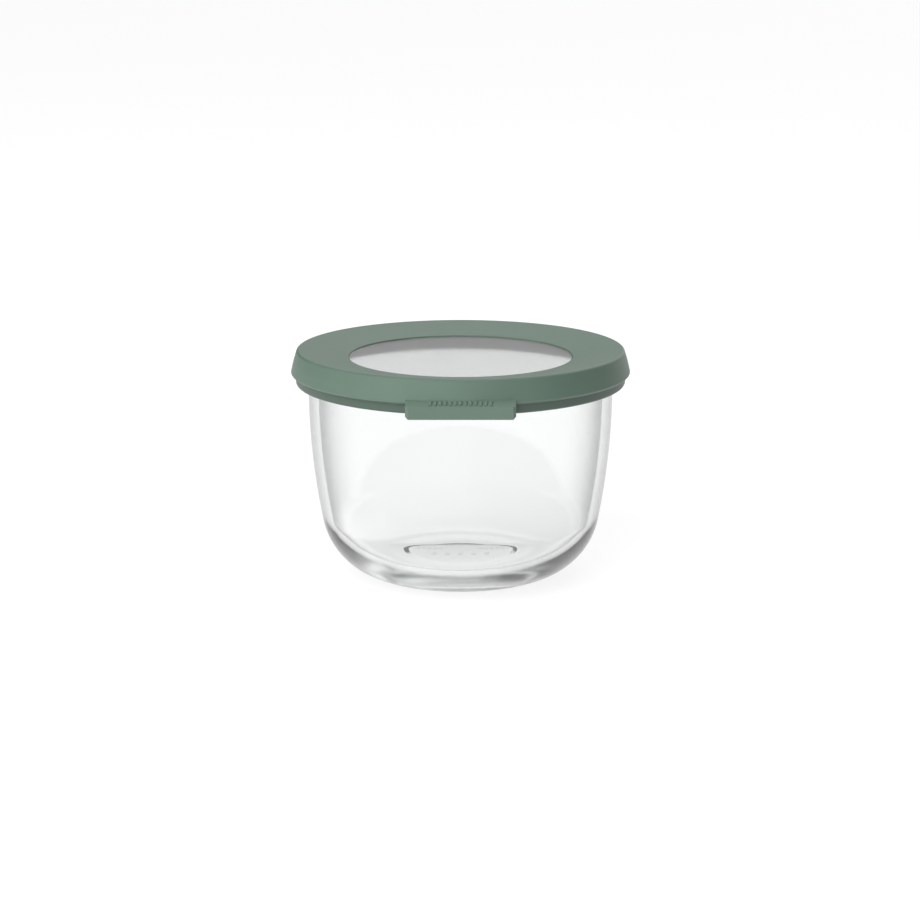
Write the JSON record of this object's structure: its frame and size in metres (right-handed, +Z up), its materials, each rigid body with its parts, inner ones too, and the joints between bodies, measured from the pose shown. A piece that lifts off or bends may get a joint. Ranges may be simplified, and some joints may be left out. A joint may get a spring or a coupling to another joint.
{
  "type": "glass storage container",
  "caption": "Round clear glass food bowl with a thick rounded base and a press-on lid: soft rim with a lift tab, clear window, inner plug frame and seal.",
  "frame": {"origin": "centre of the flat ring that the bowl stands on", "axes": "+Z up along the bowl's axis, -Y towards the lid's lift tab"},
  "size_m": [0.125, 0.126, 0.085],
  "materials": {
    "glass": "clear pressed glass, fire-polished",
    "lid_green": "sage green moulded soft plastic, fine matte",
    "window_clear": "clear moulded plastic, slightly smoky",
    "frame_grey": "neutral grey moulded plastic, satin",
    "seal_silicone": "pale silicone, matte"
  },
  "bodies": {
    "bowl": {"glass_bowl": "glass"},
    "lid": {"lid_rim": "lid_green", "lid_window": "window_clear", "lid_inner_frame": "frame_grey", "seal_ring": "seal_silicone"}
  },
  "joints": [
    {"name": "lid_lift", "type": "slide", "parent": "bowl", "child": "lid", "axis": [0, 0, 1], "range_m": [0, 0.06]}
  ]
}
